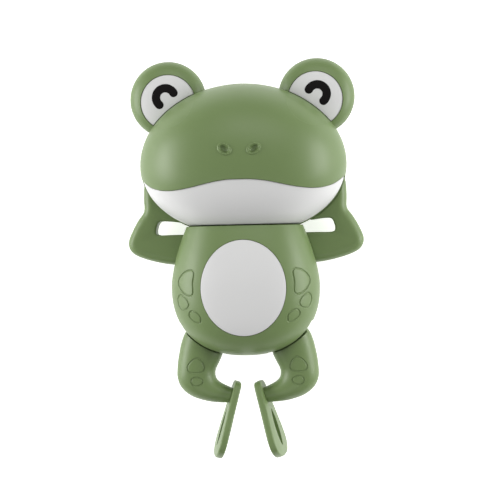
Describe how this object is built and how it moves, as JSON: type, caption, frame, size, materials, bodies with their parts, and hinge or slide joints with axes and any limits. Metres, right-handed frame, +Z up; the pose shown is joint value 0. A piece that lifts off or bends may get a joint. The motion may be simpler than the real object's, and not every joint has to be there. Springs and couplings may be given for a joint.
{
  "type": "wind-up swimming frog toy",
  "caption": "Wind-up frog bath toy lying on its back, arms behind its head, with a knob in the back and a clockwork that swings its finned legs.",
  "frame": {"origin": "centre of the footprint, on the surface that the toy lies on", "axes": "+Z up out of the belly and face, +Y towards the ears, +X towards the frog's own left side"},
  "size_m": [0.0988, 0.1661, 0.048],
  "materials": {
    "green_plastic": "satin moulded sage green plastic",
    "white_plastic": "satin moulded off-white plastic",
    "inner_plastic": "plain light grey moulding",
    "gear_plastic": "natural acetal",
    "steel": "bright steel",
    "spring_steel": "blued spring steel",
    "rubber": "black rubber"
  },
  "bodies": {
    "shell": {"head_front_shell": "green_plastic", "head_rear_shell": "green_plastic", "body_front_shell": "green_plastic", "body_rear_shell": "green_plastic", "arm_left": "green_plastic", "arm_right": "green_plastic", "jaw_panel": "white_plastic", "eye_panel_left": "white_plastic", "eye_panel_right": "white_plastic", "belly_panel": "white_plastic", "movement_tray": "inner_plastic", "movement_cover": "inner_plastic", "hip_pin_left": "steel", "hip_pin_right": "steel", "second_arbor": "steel", "third_arbor": "steel", "body_screw_1": "steel", "body_screw_2": "steel", "body_screw_3": "steel", "body_screw_4": "steel", "head_screw_1": "steel", "head_screw_2": "steel", "head_screw_3": "steel", "case_screw_1": "steel", "case_screw_2": "steel", "case_screw_3": "steel", "case_screw_4": "steel", "mainspring": "spring_steel", "case_gasket": "rubber", "winding_seal": "rubber", "crank_seal": "rubber"},
    "left_leg": {"leg_left": "green_plastic", "lever_left": "inner_plastic", "fin_left": "green_plastic"},
    "right_leg": {"leg_right": "green_plastic", "lever_right": "inner_plastic", "fin_right": "green_plastic"},
    "yoke": {"drive_yoke": "gear_plastic"},
    "winding": {"winding_knob": "white_plastic", "knob_screw": "steel", "winding_arbor": "steel", "great_wheel": "gear_plastic"},
    "second_wheel": {"second_wheel": "gear_plastic"},
    "third_wheel": {"third_wheel": "gear_plastic"},
    "crank": {"crank_pinion": "gear_plastic", "crank_disc": "gear_plastic"}
  },
  "joints": [
    {"name": "left_leg_kick", "type": "hinge", "parent": "shell", "child": "left_leg", "pos_m": [0.016, -0.026, 0.0165], "axis": [0, 0, 1], "range_deg": [-5, 19]},
    {"name": "right_leg_kick", "type": "hinge", "parent": "shell", "child": "right_leg", "pos_m": [-0.016, -0.026, 0.0165], "axis": [0, 0, 1], "range_deg": [-19, 5]},
    {"name": "yoke_slide", "type": "slide", "parent": "shell", "child": "yoke", "axis": [0, 1, 0], "range_m": [-0.0038, 0.0011]},
    {"name": "winding_spin", "type": "hinge", "parent": "shell", "child": "winding", "pos_m": [0, -0.001, 0.0044], "axis": [0, 0, 1], "continuous": true},
    {"name": "second_wheel_spin", "type": "hinge", "parent": "shell", "child": "second_wheel", "pos_m": [0.0105, -0.0057, 0.014], "axis": [0, 0, 1], "continuous": true},
    {"name": "third_wheel_spin", "type": "hinge", "parent": "shell", "child": "third_wheel", "pos_m": [0.0085, -0.0155, 0.014], "axis": [0, 0, 1], "continuous": true},
    {"name": "crank_spin", "type": "hinge", "parent": "shell", "child": "crank", "pos_m": [0, -0.0155, 0.014], "axis": [0, 0, 1], "continuous": true}
  ],
  "couplings": [
    {"joint": "right_leg_kick", "follows": "left_leg_kick", "ratio": -1},
    {"joint": "yoke_slide", "follows": "left_leg_kick", "m_per_rad": -0.01115},
    {"joint": "second_wheel_spin", "follows": "winding_spin", "ratio": -3.6},
    {"joint": "third_wheel_spin", "follows": "winding_spin", "ratio": 10.8},
    {"joint": "crank_spin", "follows": "winding_spin", "ratio": -25.92}
  ]
}
